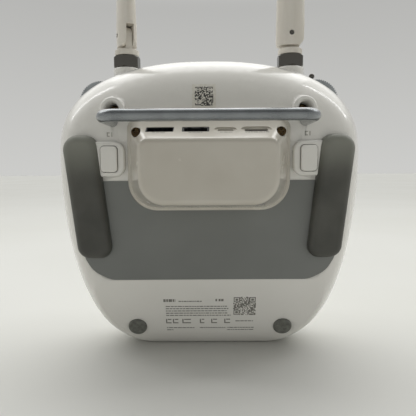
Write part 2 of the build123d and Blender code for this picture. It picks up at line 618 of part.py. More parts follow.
# ---------------------------------------------------------------- device holder
def make_holder():
    bracket = box((-17, 17), (FRONT_DEPTH, 28.0), (124.0, 146.5))
    for s in (-1, 1):
        ear = box((min(s * 12, s * 16), max(s * 12, s * 16)), (27.0, HINGE_Y), (HINGE_Z - 4.5, HINGE_Z + 4.5))
        ear += rod((s * 12, HINGE_Y, HINGE_Z), (s * 16, HINGE_Y, HINGE_Z), 4.5)
        bracket += ear
    bracket = bracket - rod((-20, HINGE_Y, HINGE_Z), (20, HINGE_Y, HINGE_Z), 2.0)
    bracket = bracket - [rod((x, 20, z), (x, 29, z), SCREW_R) for x, z in BRACKET_SCREWS]
    pin = rod((-17.0, HINGE_Y, HINGE_Z), (17.0, HINGE_Y, HINGE_Z), 2.0)

    barrel = rod((-11.6, HINGE_Y, HINGE_Z), (11.6, HINGE_Y, HINGE_Z), 4.4)
    arm = rounded_bar((-22, 22), ARM_Z, ARM_Y, 3.0)
    arm += box((-9, 9), (32.5, 37.5), (ARM_Z[1] - 2, HINGE_Z)) + barrel
    arm += rounded_bar((-24, 24), (ARM_Z[1] - 6.5, ARM_Z[1]), (ARM_Y[0], LIP_Y), 2.0)
    arm += box((-24, 24), (LIP_Y - 2.0, LIP_Y), (ARM_Z[1] - 10.0, ARM_Z[1] - 2.0))
    arm = arm - rod((-20, HINGE_Y, HINGE_Z), (20, HINGE_Y, HINGE_Z), 2.0 + RUN)
    rails = [box((s * 15.5 - 2.5, s * 15.5 + 2.5), (32.8, 35.8), (JAW_Z[1] - 0.5, 130.0)) for s in (-1, 1)]
    for s in (-1, 1):
        channel = box((s * 15.5 - 2.5 - FIT, s * 15.5 + 2.5 + FIT), (32.8 - FIT, 35.8 + FIT), (60.0, 131.0))
        arm = arm - channel
    arm = arm - rod((18.0, 34.3, 118.0), (30.0, 34.3, 118.0), 2.6 + FIT)
    jaw = rounded_bar((-24, 24), JAW_Z, (ARM_Y[0], LIP_Y), 2.0)
    jaw += box((-24, 24), (LIP_Y - 2.0, LIP_Y), (JAW_Z[0] + 2.0, JAW_Z[1] + 4.0))
    for rail in rails:
        jaw += rail
    top_pad = box((-21, 21), (ARM_Y[1] + 0.5, LIP_Y - 2.2), (ARM_Z[1] - 8.0, ARM_Z[1] - 6.5))
    jaw_pad = box((-21, 21), (ARM_Y[1] + 0.5, LIP_Y - 2.2), (JAW_Z[1], JAW_Z[1] + 1.5))
    release = rod((19.6, 34.3, 118.0), (24.2, 34.3, 118.0), 2.6)
    release = fillet(release.edges().sort_by(Axis.X)[-1], 0.6)
    save("holder_bracket", bracket)
    save("holder_pin", pin)
    save("holder_arm", arm.solids().sort_by(SortBy.VOLUME)[-1])
    save("holder_jaw", jaw)
    save("holder_top_pad", top_pad)
    save("holder_jaw_pad", jaw_pad)
    save("holder_release_button", release)


# ---------------------------------------------------------------- inside
def make_inside():
    boards = [
        box((-44, 44), (-6.0, -4.4), (64, 126)),
        box((-21, 21), (-14.0, -12.4), (130, 158)),
        box((-33, 33), (-35.5, -33.9), (90, 110)),
        box((-14, 14), (19.0, 20.4), (LED_Z - 3.5, STATUS_Z + 3.0)),
    ]
    save("circuit_boards", group(boards))
    cans = [box((x - 8.5, x + 8.5), (-16.4, -14.0), (137, 153)) for x in (-10.5, 10.5)]
    save("shield_cans", group(cans + [box((-22, 22), (-8.0, -6.0), (80, 112))]))
    save("battery_pack", group([box((x - 23, x + 23), (-19.0, -7.0), (24, 60)) for x in (-24, 24)]))
    save("battery_tray", box((-50, 50), (-5.8, -4.2), (22, 62)) + box((-50, 50), (-19, -5.8), (60.5, 62)))
    save("speaker", rod((0, 13.0, SPEAKER_Z), (0, 17.5, SPEAKER_Z), 9.5))
    pipes = [rod((x, 20.4, LED_Z), (x, FRONT_DEPTH + 0.1, LED_Z), 0.9) for x in LED_X]
    pipes.append(rod((0, 20.4, STATUS_Z), (0, FRONT_DEPTH + 0.1, STATUS_Z), 1.4))
    save("led_windows", group(pipes))
    jack = tube((JACK_X, 12.0, JACK_Z), (JACK_X, 21.3, JACK_Z), 4.6, 2.8)
    jack += rod((JACK_X, 11.0, JACK_Z), (JACK_X, 12.0, JACK_Z), 4.6)
    jack += rod((JACK_X, 12.0, JACK_Z), (JACK_X, 20.5, JACK_Z), 1.0)
    usb = rounded_bar((USB_X - 4.3, USB_X + 4.3), (JACK_Z - 2.0, JACK_Z + 2.0), (14.0, 21.3), 1.0)
    usb = usb - rounded_bar((USB_X - 3.8, USB_X + 3.8), (JACK_Z - 1.5, JACK_Z + 1.5), (15.0, 22.0), 0.8)
    usb += box((USB_X - 2.6, USB_X + 2.6), (14.5, 20.5), (JACK_Z - 0.4, JACK_Z + 0.4))
    save("charge_sockets", group([jack, usb]))


def main():
    os.makedirs("parts", exist_ok=True)
    outer_back = back_solid()
    grip = grip_solid(outer_back)
    pod = pod_solid()
    grip = grip - pod
    save("back_shell", make_back_shell(outer_back, both(grip), pod))
    save("left_grip", mirrored(grip))
    save("right_grip", grip)
    save("back_panel", make_back_panel() - both(grip) - both(pod))
    front = make_front_shell()
    save("front_shell", front)
    feet = [foot_solid(s * FOOT_AT[0], FOOT_AT[1]) for s in (-1, 1)]
    save("rubber_feet", group(feet))
    save("port_module_shell", make_module_shell())
    save("usb_a_socket", make_usb_a())
    save("can_socket", make_can())
    save("micro_usb_socket", make_small_port("micro_usb", 0.7))
    save("mini_hdmi_socket", make_small_port("mini_hdmi", 1.1))
    save("handle_bar", make_handle_bar())
    make_screws()
    make_antennas()
    make_sticks()
    save("gimbal_dial", make_dial(1))
    save("camera_dial", make_dial(-1))
    save("dial_axles", make_dial_axle(front))
    save("mode_switch", make_mode_switch())
    for name, (x, z, r) in PUSH_BUTTONS.items():
        save(name, make_push_button(x, z, r))
    save("rear_button_left", make_rear_button(-1))
    save("rear_button_right", make_rear_button(1))
    make_holder()
    make_inside()


main()
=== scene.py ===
import json
import math
import random

import bmesh
import bpy
from mathutils import Matrix, Vector
from mathutils.bvhtree import BVHTree


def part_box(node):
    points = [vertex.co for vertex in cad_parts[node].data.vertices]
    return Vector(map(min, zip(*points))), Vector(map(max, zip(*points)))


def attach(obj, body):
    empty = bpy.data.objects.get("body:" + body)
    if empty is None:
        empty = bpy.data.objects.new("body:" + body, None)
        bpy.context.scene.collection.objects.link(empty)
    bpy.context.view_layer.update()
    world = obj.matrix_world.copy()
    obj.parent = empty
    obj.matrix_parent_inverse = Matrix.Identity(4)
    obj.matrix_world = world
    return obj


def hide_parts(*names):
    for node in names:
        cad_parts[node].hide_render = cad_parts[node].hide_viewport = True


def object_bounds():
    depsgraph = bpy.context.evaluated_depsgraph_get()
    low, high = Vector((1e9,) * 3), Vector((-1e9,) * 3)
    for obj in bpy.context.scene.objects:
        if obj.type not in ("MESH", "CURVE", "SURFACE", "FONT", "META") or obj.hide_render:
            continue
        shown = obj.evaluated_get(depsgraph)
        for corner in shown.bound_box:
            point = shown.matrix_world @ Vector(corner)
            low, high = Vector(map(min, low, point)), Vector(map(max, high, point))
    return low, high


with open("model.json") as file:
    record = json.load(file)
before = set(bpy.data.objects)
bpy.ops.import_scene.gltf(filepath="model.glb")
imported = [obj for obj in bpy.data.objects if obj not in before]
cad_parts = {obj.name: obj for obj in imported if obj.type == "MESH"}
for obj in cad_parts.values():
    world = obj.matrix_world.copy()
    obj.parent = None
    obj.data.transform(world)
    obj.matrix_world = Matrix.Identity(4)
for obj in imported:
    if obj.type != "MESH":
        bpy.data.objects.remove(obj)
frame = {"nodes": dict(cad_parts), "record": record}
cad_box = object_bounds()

MM = 0.001
WELD = 0.002 * MM             # corners nearer than this are one corner
INK = 0.03 * MM               # thickness of pad-printed ink
SUNK = -0.05 * MM             # how far print and labels reach down into the skin
nodes = frame["nodes"]


# ---------------------------------------------------------------- places read from the frame
def corners(node):
    """The lowest and highest corner of a CAD node, as vectors in metres."""
    low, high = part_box(node)
    return Vector(low), Vector(high)


def middle(node):
    low, high = corners(node)
    return (low + high) / 2


# ---------------------------------------------------------------- colour and node helpers
def linear(hex_code):
    """An sRGB hex colour such as "#e8e6e0" as opaque linear RGBA."""
    parts = [int(hex_code[i:i + 2], 16) / 255 for i in (1, 3, 5)]
    channels = [c / 12.92 if c <= 0.04045 else ((c + 0.055) / 1.055) ** 2.4 for c in parts]
    return (*channels, 1.0)


def add(tree, kind, settings=None, **links):
    """Adds one node: settings set its properties or input values, and links join its inputs.

    A link is named after its input, with _ for a space, or i and a number where a name would be unclear.
    """
    node = tree.nodes.new(kind)
    for key, value in (settings or {}).items():
        if key in node.inputs:
            node.inputs[key].default_value = value
        else:
            setattr(node, key, value)
    for key, source in links.items():
        numbered = key[0] == "i" and key[1:].isdigit()
        socket = int(key[1:]) if numbered else key.replace("_", " ")
        tree.links.new(source, node.inputs[socket])
    return node


def finish(name, base, rough, **sockets):
    """A new material with a base colour and roughness: returns it with its tree, shader and coordinates."""
    material = bpy.data.materials.new(name)
    material.use_nodes = True
    tree = material.node_tree
    shader = tree.nodes["Principled BSDF"]
    shader.inputs["Base Color"].default_value = linear(base)
    shader.inputs["Roughness"].default_value = rough
    for key, value in sockets.items():
        shader.inputs[key.replace("_", " ")].default_value = value
    material.diffuse_color = linear(base)
    return material, tree, shader, add(tree, "ShaderNodeTexCoord").outputs["Object"]


def mottled(tree, shader, coords, shades, scale, detail=3.0, spread=(0.35, 0.65)):
    """Base colour that drifts between two shades."""
    noise = add(tree, "ShaderNodeTexNoise", {"Scale": scale, "Detail": detail}, Vector=coords)
    ramp = add(tree, "ShaderNodeValToRGB", {}, Fac=noise.outputs["Fac"])
    for element, place, shade in zip(ramp.color_ramp.elements, spread, shades):
        element.position = place
        element.color = linear(shade)
    tree.links.new(ramp.outputs["Color"], shader.inputs["Base Color"])
    return ramp


def uneven_gloss(tree, shader, coords, low, high, scale):
    """Roughness that wanders between two values, as handled surfaces do."""
    noise = add(tree, "ShaderNodeTexNoise", {"Scale": scale, "Detail": 4.0}, Vector=coords)
    span = add(tree, "ShaderNodeMapRange", {"To Min": low, "To Max": high, "From Min": 0.3, "From Max": 0.7},
               Value=noise.outputs["Fac"])
    tree.links.new(span.outputs["Result"], shader.inputs["Roughness"])


def grained(tree, shader, coords, scale, height, strength=1.0, detail=2.0):
    """A fine moulded or cast grain as bump; height is in metres."""
    noise = add(tree, "ShaderNodeTexNoise", {"Scale": scale, "Detail": detail}, Vector=coords)
    bump = add(tree, "ShaderNodeBump", {"Strength": strength, "Distance": height},
               Height=noise.outputs["Fac"])
    tree.links.new(bump.outputs["Normal"], shader.inputs["Normal"])


# ---------------------------------------------------------------- finishes
def gloss_white_abs():
    """White ABS from a polished mould: glassy, with faint handling smears and a little yellowing."""
    material, tree, shader, coords = finish("gloss_white_abs", "#e9e7e1", 0.12, IOR=1.53,
                                            Coat_Weight=0.35, Coat_Roughness=0.06)
    mottled(tree, shader, coords, ("#e4e2dc", "#edebe6"), 9.0)
    uneven_gloss(tree, shader, coords, 0.10, 0.26, 55.0)
    grained(tree, shader, coords, 700.0, 0.00002, 0.25)
    return material


def warm_white_abs():
    """The port module's ABS: the same gloss, a warmer batch of white, and rubbed a little duller."""
    material, tree, shader, coords = finish("warm_white_abs", "#c8c2b6", 0.18, IOR=1.53,
                                            Coat_Weight=0.6, Coat_Roughness=0.12)
    mottled(tree, shader, coords, ("#c3bdb1", "#ccc7bc"), 26.0)
    uneven_gloss(tree, shader, coords, 0.14, 0.28, 80.0)
    grained(tree, shader, coords, 900.0, 0.00002, 0.3)
    return material


def spark_eroded_grey():
    """Matt grey ABS panel: a fine spark-eroded grain of about 0.3 mm that kills the shine."""
    material, tree, shader, coords = finish("spark_eroded_grey", "#7e807d", 0.5, IOR=1.5)
    mottled(tree, shader, coords, ("#787a77", "#838582"), 14.0)
    uneven_gloss(tree, shader, coords, 0.46, 0.62, 30.0)
    grained(tree, shader, coords, 2600.0, 0.00006, 0.5)
    return material


def grip_rubber():
    """Thermoplastic rubber of the hand grips: warm dark grey, dry and palm-stained, with a painted sheen that
    pales the colour towards the top.
    """
    material, tree, shader, coords = finish("grip_rubber", "#56564f", 0.55, IOR=1.5)
    stained = mottled(tree, shader, coords, ("#44443f", "#54544e"), 40.0)
    # painted sheen: from 98 mm up to 122 mm the colour is mixed into pale grey, standing in for the light the
    # upturned grip tops catch
    height = add(tree, "ShaderNodeSeparateXYZ", {}, Vector=coords)
    pale = add(tree, "ShaderNodeMapRange",
               {"From Min": 98 * MM, "From Max": 122 * MM, "interpolation_type": "SMOOTHSTEP"},
               Value=height.outputs["Z"])
    painted_sheen_mix = add(tree, "ShaderNodeMix", {"data_type": "RGBA", "B": linear("#84857c")}, i0=pale.outputs[0],
                i6=stained.outputs["Color"])
    tree.links.new(painted_sheen_mix.outputs[2], shader.inputs["Base Color"])
    uneven_gloss(tree, shader, coords, 0.42, 0.66, 22.0)
    grained(tree, shader, coords, 3200.0, 0.00005, 0.45)
    return material


def foot_rubber():
    """Grey elastomer of the little feet, matt and with a little dust on it."""
    material, tree, shader, coords = finish("foot_rubber", "#6b6c66", 0.6)
    mottled(tree, shader, coords, ("#5d5e58", "#777871"), 500.0)
    grained(tree, shader, coords, 3000.0, 0.00005, 0.5)
    return material


def grey_lacquer():
    """Sprayed grey lacquer on steel rod: even satin with a little orange peel."""
    material, tree, shader, coords = finish("grey_lacquer", "#83878a", 0.26, Metallic=0.7,
                                            Coat_Weight=0.6, Coat_Roughness=0.1)
    mottled(tree, shader, coords, ("#7d8184", "#898d90"), 120.0)
    grained(tree, shader, coords, 900.0, 0.00004, 0.3)
    return material


def antenna_abs():
    """Ivory-white satin ABS of the antenna blades, with long mould flow marks."""
    material, tree, shader, coords = finish("antenna_abs", "#d9d4ca", 0.36, IOR=1.53)
    stretched = add(tree, "ShaderNodeMapping", {"Scale": (1.0, 1.0, 0.12)}, Vector=coords)
    mottled(tree, shader, stretched.outputs["Vector"], ("#d3cdc2", "#dfdad1"), 160.0)
    grained(tree, shader, coords, 1500.0, 0.00003, 0.3)
    return material


def nickel_plate():
    """Bright nickel on turned brass: mirror-like, with fine turning lines."""
    material, tree, shader, coords = finish("nickel_plate", "#5f5d59", 0.08, Metallic=1.0)
    stretched = add(tree, "ShaderNodeMapping", {"Scale": (0.05, 0.05, 1.0)}, Vector=coords)
    grained(tree, shader, stretched.outputs["Vector"], 5000.0, 0.00002, 0.3)
    uneven_gloss(tree, shader, coords, 0.08, 0.22, 300.0)
    return material


def passivated_screw():
    """Yellow-passivated steel screw, dull brown where it has tarnished."""
    material, tree, shader, coords = finish("passivated_screw", "#46392a", 0.3, Metallic=1.0)
    mottled(tree, shader, coords, ("#2a231a", "#5c4c36"), 700.0)
    uneven_gloss(tree, shader, coords, 0.24, 0.5, 900.0)
    return material


def pressed_tin():
    """Tin-plated pressed steel of the sockets and screening cans."""
    material, tree, shader, coords = finish("pressed_tin", "#8d8e8e", 0.35, Metallic=1.0)
    mottled(tree, shader, coords, ("#808182", "#9b9c9c"), 600.0)
    uneven_gloss(tree, shader, coords, 0.25, 0.45, 800.0)
    return material


def shade_darkened_tin():
    """Tin plate of the sockets deep in the port openings, given a much darker colour than the other tin as
    painted shade of the openings.
    """
    # the base and mottle shades are painted shade: the socket metal is darkened because it lies deep in the
    # openings
    material, tree, shader, coords = finish("shade_darkened_tin", "#3a3b3e", 0.4, Metallic=1.0)
    mottled(tree, shader, coords, ("#2e2f32", "#47484b"), 700.0)
    return material


def socket_black():
    """Black glass-filled nylon inside sockets: nearly no shine."""
    material, tree, shader, coords = finish("socket_black", "#0e0e0f", 0.55)
    mottled(tree, shader, coords, ("#0a0a0b", "#161617"), 900.0)
    grained(tree, shader, coords, 4000.0, 0.00003, 0.4)
    return material


def inner_black():
    """Black acetal of the stick domes: smooth, slippery, softly shiny."""
    material, tree, shader, coords = finish("inner_black", "#1b1c1e", 0.38)
    mottled(tree, shader, coords, ("#17181a", "#232427"), 220.0)
    uneven_gloss(tree, shader, coords, 0.3, 0.46, 300.0)
    return material


def bezel_grey():
    """Satin grey ABS ring round each stick."""
    material, tree, shader, coords = finish("bezel_grey", "#8f9192", 0.42)
    mottled(tree, shader, coords, ("#87898a", "#979999"), 150.0)
    grained(tree, shader, coords, 2400.0, 0.00004, 0.4)
    return material


def dial_grey():
    """Blue-grey satin ABS thumb wheels."""
    material, tree, shader, coords = finish("dial_grey", "#9ba0a4", 0.36)
    mottled(tree, shader, coords, ("#94999d", "#a3a8ac"), 260.0)
    grained(tree, shader, coords, 2000.0, 0.00004, 0.4)
    return material


def turned_aluminium():
    """Anodised turned aluminium of the stick ends: satin silver with turning lines."""
    material, tree, shader, coords = finish("turned_aluminium", "#a9abad", 0.3, Metallic=1.0)
    stretched = add(tree, "ShaderNodeMapping", {"Scale": (0.05, 1.0, 0.05)}, Vector=coords)
    grained(tree, shader, stretched.outputs["Vector"], 6000.0, 0.00002, 0.4)
    uneven_gloss(tree, shader, coords, 0.22, 0.38, 400.0)
    return material


def ribbed_rubber():
    """Black silicone pads of the device holder."""
    material, tree, shader, coords = finish("ribbed_rubber", "#262626", 0.66)
    mottled(tree, shader, coords, ("#212121", "#2d2d2c"), 300.0)
    grained(tree, shader, coords, 3000.0, 0.00004, 0.5)
    return material


def circuit_green():
    """Solder-masked board: green lacquer over copper that shows as slightly lighter tracks."""
    material, tree, shader, coords = finish("circuit_green", "#12492c", 0.3)
    shades = {"Color1": linear("#14502f"), "Color2": linear("#0f4028"), "Mortar": linear("#1d6a40")}
    cells = add(tree, "ShaderNodeTexBrick", {"Scale": 260.0, **shades}, Vector=coords)
    tree.links.new(cells.outputs["Color"], shader.inputs["Base Color"])
    return material


def cell_wrap():
    """Blue shrink film round the battery cells."""
    material, tree, shader, coords = finish("cell_wrap", "#20406e", 0.28)
    mottled(tree, shader, coords, ("#1c3a66", "#294c7c"), 60.0)
    uneven_gloss(tree, shader, coords, 0.2, 0.4, 90.0)
    return material


def light_pipe():
    """Milky acrylic light pipe."""
    material, tree, shader, coords = finish("light_pipe", "#dfe8df", 0.25, Transmission_Weight=0.35, IOR=1.49)
    mottled(tree, shader, coords, ("#d6e0d6", "#e9f0e9"), 500.0)
    return material


def printed_ink():
    """Grey pad-printing ink: flat and very slightly worn through."""
    material, tree, shader, coords = finish("printed_ink", "#77756f", 0.5)
    mottled(tree, shader, coords, ("#6c6a64", "#85837c"), 1500.0)
    return material


def faint_print():
    """Pale grey pad print beside the rear buttons, hardly darker than the case."""
    material, tree, shader, coords = finish("faint_print", "#b3b0a8", 0.4)
    mottled(tree, shader, coords, ("#aba89f", "#bbb8b0"), 1500.0)
    return material


def sticker_ink():
    """Black thermal-transfer print on the small sticker."""
    material, tree, shader, coords = finish("sticker_ink", "#1d1c1a", 0.45)
    mottled(tree, shader, coords, ("#151412", "#282724"), 1500.0)
    return material


def sticker_paper():
    """Coated white label stock, a shade warmer and duller than the case."""
    material, tree, shader, coords = finish("sticker_paper", "#d9d6cc", 0.45)
    mottled(tree, shader, coords, ("#d2cfc4", "#dfdcd3"), 600.0)
    grained(tree, shader, coords, 3500.0, 0.00002, 0.4)
    return material


def seam_shadow():
    """The dark of the narrow gap where the two shells meet: bare plastic with dirt in it."""
    material, tree, shader, coords = finish("seam_shadow", "#4a4944", 0.7)
    mottled(tree, shader, coords, ("#3a3935", "#5e5d57"), 400.0)
    return material


def pale_floor():
    """Matt off-white table, with a faint broad unevenness."""
    material, tree, shader, coords = finish("pale_floor", "#d9d9d5", 0.6)
    mottled(tree, shader, coords, ("#d7d7d2", "#dbdbd7"), 3.0)
    return material


FINISHES = {
    gloss_white_abs: "back_shell front_shell rear_button_left rear_button_right record_button shutter_button"
                     " playback_button return_home_button power_button holder_arm holder_jaw holder_bracket"
                     " holder_release_button",
    warm_white_abs: "port_module_shell",
    spark_eroded_grey: "back_panel",
    grip_rubber: "left_grip right_grip",
    foot_rubber: "rubber_feet",
    grey_lacquer: "handle_bar",
    antenna_abs: "left_antenna_swivel left_antenna_knuckle left_antenna_blade right_antenna_swivel"
                 " right_antenna_knuckle right_antenna_blade",
    nickel_plate: "antenna_connectors left_antenna_pin right_antenna_pin holder_pin mode_switch",
    passivated_screw: "module_screws case_screws bracket_screws",
    pressed_tin: "charge_sockets shield_cans",
    shade_darkened_tin: "usb_a_socket micro_usb_socket mini_hdmi_socket",
    socket_black: "can_socket speaker battery_tray",
    inner_black: "stick_frames left_stick_yoke right_stick_yoke left_stick_dome right_stick_dome dial_axles",
    bezel_grey: "stick_bezels",
    dial_grey: "gimbal_dial camera_dial",
    turned_aluminium: "left_stick_cap right_stick_cap left_stick_shaft right_stick_shaft",
    ribbed_rubber: "holder_top_pad holder_jaw_pad",
    circuit_green: "circuit_boards",
    cell_wrap: "battery_pack",
    light_pipe: "led_windows",
}
material_of = {}
for make, names in FINISHES.items():
    made = make()
    for name in names.split():
        material_of[name] = made
        mesh = nodes[name].data
        mesh.materials.clear()
        mesh.materials.append(made)
ink = printed_ink()
faint_ink = faint_print()
code_ink = sticker_ink()
paper = sticker_paper()
seam = seam_shadow()

record_slots = {row["node"]: row["material_slot"] for row in frame["record"]["subparts"]}
body_of = {node: body for body, members in frame["record"]["behaviour"]["bodies"].items() for node in members}


# ---------------------------------------------------------------- making pieces
def piece_from(mesh, name, body, slot, materials):
    """A finished object at the origin that rides with a body."""
    obj = bpy.data.objects.new(name, mesh)
    bpy.context.scene.collection.objects.link(obj)
    mesh.materials.clear()
    for material in materials:
        mesh.materials.append(material)
    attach(obj, body)
    return obj


def from_bmesh(bm, name, body, slot, materials, smooth=True):
    bmesh.ops.recalc_face_normals(bm, faces=bm.faces)
    mesh = bpy.data.meshes.new(name)
    bm.to_mesh(mesh)
    bm.free()
    for polygon in mesh.polygons:
        polygon.use_smooth = smooth
    return piece_from(mesh, name, body, slot, materials)


def smooth_by_angle(mesh, degrees):
    """Smooth shading with sharp edges kept where faces meet at more than the angle."""
    for polygon in mesh.polygons:
        polygon.use_smooth = True
    mesh.set_sharp_from_angle(angle=math.radians(degrees))


def welded(node):
    """A copy of a CAD node's mesh with its loose triangles joined."""
    mesh = nodes[node].data.copy()
    bm = bmesh.new()
    bm.from_mesh(mesh)
    bmesh.ops.remove_doubles(bm, verts=bm.verts, dist=WELD)
    bm.to_mesh(mesh)
    bm.free()
    return mesh


def flats_kept_flat(mesh):
    """Normals weighted by face area, so that broad flats stay flat beside their rounded edges."""
    holder = bpy.data.objects.new("holder", mesh)
    bpy.context.scene.collection.objects.link(holder)
    modifier = holder.modifiers.new("weighted", "WEIGHTED_NORMAL")
    modifier.keep_sharp = True
    modifier.weight = 100
    bpy.context.view_layer.update()
    result = bpy.data.meshes.new_from_object(holder.evaluated_get(bpy.context.evaluated_depsgraph_get()))
    bpy.data.objects.remove(holder)
    return result


def smooth_copy(node):
    """Replaces a CAD node by a welded copy of itself with smooth shading."""
    mesh = welded(node)
    smooth_by_angle(mesh, 28)
    mesh = flats_kept_flat(mesh)
    mesh.name = f"{node}_skin"
    obj = piece_from(mesh, f"{node}_skin", body_of[node], record_slots[node], [material_of[node]])
    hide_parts(node)


for node in ("back_shell", "front_shell", "left_grip", "right_grip", "handle_bar",
             "rubber_feet", "rear_button_left", "rear_button_right", "antenna_connectors"):
    smooth_copy(node)


# ---------------------------------------------------------------- print and stickers laid on the case
def skin_of(node):
    """A tree for casting rays at a CAD node's own mesh."""
    mesh = nodes[node].data
    points = [vert.co.copy() for vert in mesh.vertices]
    return BVHTree.FromPolygons(points, [tuple(polygon.vertices) for polygon in mesh.polygons])


CLEAR = 20 * MM               # how far off the skin the work hovers before it is laid down


def lay_on(bm, node, origin, up):
    """Moves flat work, drawn with X across, Y up and Z as its thickness, on to the skin of a node."""
    skin = skin_of(node)
    across, up = Vector((1, 0, 0)), Vector(up).normalized()
    out = across.cross(up)
    for vert in bm.verts:
        foot = Vector(origin) + across * vert.co.x + up * vert.co.y + out * CLEAR
        hit, normal, _, _ = skin.ray_cast(foot, -out)
        normal = normal if normal.dot(out) > 0 else -normal
        vert.co = hit + normal * vert.co.z


def tablet(bm, x0, x1, y0, y1, top=INK, steps=1):
    """One closed flat block, split across its length so that it can follow a curve."""
    ring = [[bm.verts.new((x0 + (x1 - x0) * i / steps, y, z)) for i in range(steps + 1)]
            for y, z in ((y0, SUNK), (y1, SUNK), (y1, top), (y0, top))]
    for a, b in zip(ring, ring[1:] + ring[:1]):
        for i in range(steps):
            bm.faces.new((a[i], a[i + 1], b[i + 1], b[i]))
    bm.faces.new([row[0] for row in ring])
    bm.faces.new([row[-1] for row in reversed(ring)])


SHORTEST_DASH = 0.3 * MM
DASH_GAP = 0.35 * MM


def dash_row(bm, rng, x0, x1, y, height):
    """A run of short dashes of uneven length, standing for a line of small print."""
    x = x0
    while x < x1 - SHORTEST_DASH:
        end = min(x + rng.uniform(0.7, 2.6) * MM, x1)
        tablet(bm, x, end, y - height / 2, y + height / 2)
        x = end + DASH_GAP


CHIN_TILT = math.radians(20)
CHIN_UP = (0.0, -math.sin(CHIN_TILT), math.cos(CHIN_TILT))
CHIN_PRINT_AT = (0.0, -26.0 * MM, 21.0 * MM)
CHIN_DOTS_AT = (19.8 * MM, -28.0 * MM, 26.4 * MM)
CHIN_LINES = (                # in mm: left end, right end, height on the chin, letter height
    (-26.4, -19.6, 9.8, 1.9), (-17.8, -4.6, 9.2, 0.7), (3.2, 4.4, 10.0, 1.6), (5.0, 7.8, 10.0, 1.6),
    (-25.3, 10.2, 5.6, 0.62), (-25.3, 10.6, 4.0, 0.62), (-25.3, 9.6, 2.4, 0.62),
    (-25.3, 10.2, 0.8, 0.62), (-25.3, 12.0, -0.8, 0.62), (14.8, 25.0, -5.0, 0.6),
    (-25.3, -9.2, -9.9, 0.6), (-5.8, 9.0, -9.9, 0.6), (10.2, 25.6, -9.9, 0.6),
    (-25.3, -21.6, -11.6, 0.6), (10.2, 25.6, -11.6, 0.6),
)
CHIN_MARKS = ((-24.0, 3.2), (-20.0, 3.2), (-13.6, 5.0), (-4.6, 2.6), (2.4, 3.4), (10.0, 3.4))  # middle, width


def chin_print():
    """The grey block of small print on the sloping chin: rows of dashes and plain marks, no lettering."""
    rng = random.Random(7)
    bm = bmesh.new()
    for x0, x1, y, height in CHIN_LINES:
        dash_row(bm, rng, x0 * MM, x1 * MM, y * MM, height * MM)
    for x, width in CHIN_MARKS:
        left, right = x - width / 2, x + width / 2
        for x0, x1, y0, y1 in ((left, right, -6.6, -5.9), (left, left + 0.7, -5.8, -3.4),
                               (left + 1.1, right, -4.1, -3.4)):
            tablet(bm, x0 * MM, x1 * MM, y0 * MM, y1 * MM)
    lay_on(bm, "back_shell", CHIN_PRINT_AT, CHIN_UP)
    from_bmesh(bm, "chin_print", "case", record_slots["back_panel"], [ink], smooth=False)


def dot_tile_tree():
    """Grows a square field of little tablets, of which a share is left out at random."""
    tree = bpy.data.node_groups.new("dot_tile", "GeometryNodeTree")
    inputs = (("Columns", "NodeSocketInt", 21), ("Pitch", "NodeSocketFloat", 0.4 * MM),
              ("Thickness", "NodeSocketFloat", 0.1 * MM), ("Share", "NodeSocketFloat", 0.58),
              ("Seed", "NodeSocketInt", 3), ("Finish", "NodeSocketMaterial", None))
    for name, kind, value in inputs:
        socket = tree.interface.new_socket(name, in_out="INPUT", socket_type=kind)
        if value is not None:
            socket.default_value = value
    tree.interface.new_socket("Geometry", in_out="OUTPUT", socket_type="NodeSocketGeometry")
    given = add(tree, "NodeGroupInput").outputs
    side = add(tree, "ShaderNodeMath", {"operation": "MULTIPLY"}, i0=given["Columns"], i1=given["Pitch"])
    grid = add(tree, "GeometryNodeMeshGrid", {}, Size_X=side.outputs[0], Size_Y=side.outputs[0],
               Vertices_X=given["Columns"], Vertices_Y=given["Columns"])
    chance = add(tree, "FunctionNodeRandomValue", {"data_type": "BOOLEAN"}, Probability=given["Share"],
                 Seed=given["Seed"])
    block = add(tree, "ShaderNodeCombineXYZ", {}, X=given["Pitch"], Y=given["Pitch"], Z=given["Thickness"])
    tablet_mesh = add(tree, "GeometryNodeMeshCube", {}, Size=block.outputs[0])
    placed = add(tree, "GeometryNodeInstanceOnPoints", {}, Points=grid.outputs["Mesh"],
                 Instance=tablet_mesh.outputs["Mesh"], Selection=chance.outputs[3])
    real = add(tree, "GeometryNodeRealizeInstances", {}, Geometry=placed.outputs[0])
    painted = add(tree, "GeometryNodeSetMaterial", {}, Geometry=real.outputs[0], Material=given["Finish"])
    add(tree, "NodeGroupOutput", {}, Geometry=painted.outputs[0])
    return tree


def grown(tree, name, start=None, **values):
    """Runs a node tree on a mesh and returns the result as a plain mesh."""
    obj = bpy.data.objects.new(name, start or bpy.data.meshes.new(name))
    bpy.context.scene.collection.objects.link(obj)
    modifier = obj.modifiers.new(tree.name, "NODES")
    modifier.node_group = tree
    for item in tree.interface.items_tree:
        if item.in_out == "INPUT" and item.name in values:
            modifier[item.identifier] = values[item.name]
    bpy.context.view_layer.update()
    ready = obj.evaluated_get(bpy.context.evaluated_depsgraph_get())
    mesh = bpy.data.meshes.new_from_object(ready)
    bpy.data.objects.remove(obj)
    mesh.name = name
    return mesh


tile_tree = dot_tile_tree()


def loose_blocks(bm):
    """The vertices of each separate block, block by block."""
    seen = set()
    for first in bm.verts:
        if first in seen:
            continue
        block, waiting = [], [first]
        seen.add(first)
        while waiting:
            vert = waiting.pop()
            block.append(vert)
            for edge in vert.link_edges:
                other = edge.other_vert(vert)
                if other not in seen:
                    seen.add(other)
                    waiting.append(other)
        yield block


CORNER_DOTS = 7               # the width of a corner ring, in dots
CORNER_RING = ((-3.5, 3.5, 2.5, 3.5), (-3.5, 3.5, -3.5, -2.5), (-3.5, -2.5, -2.5, 2.5),
               (2.5, 3.5, -2.5, 2.5), (-1.5, 1.5, -1.5, 1.5))


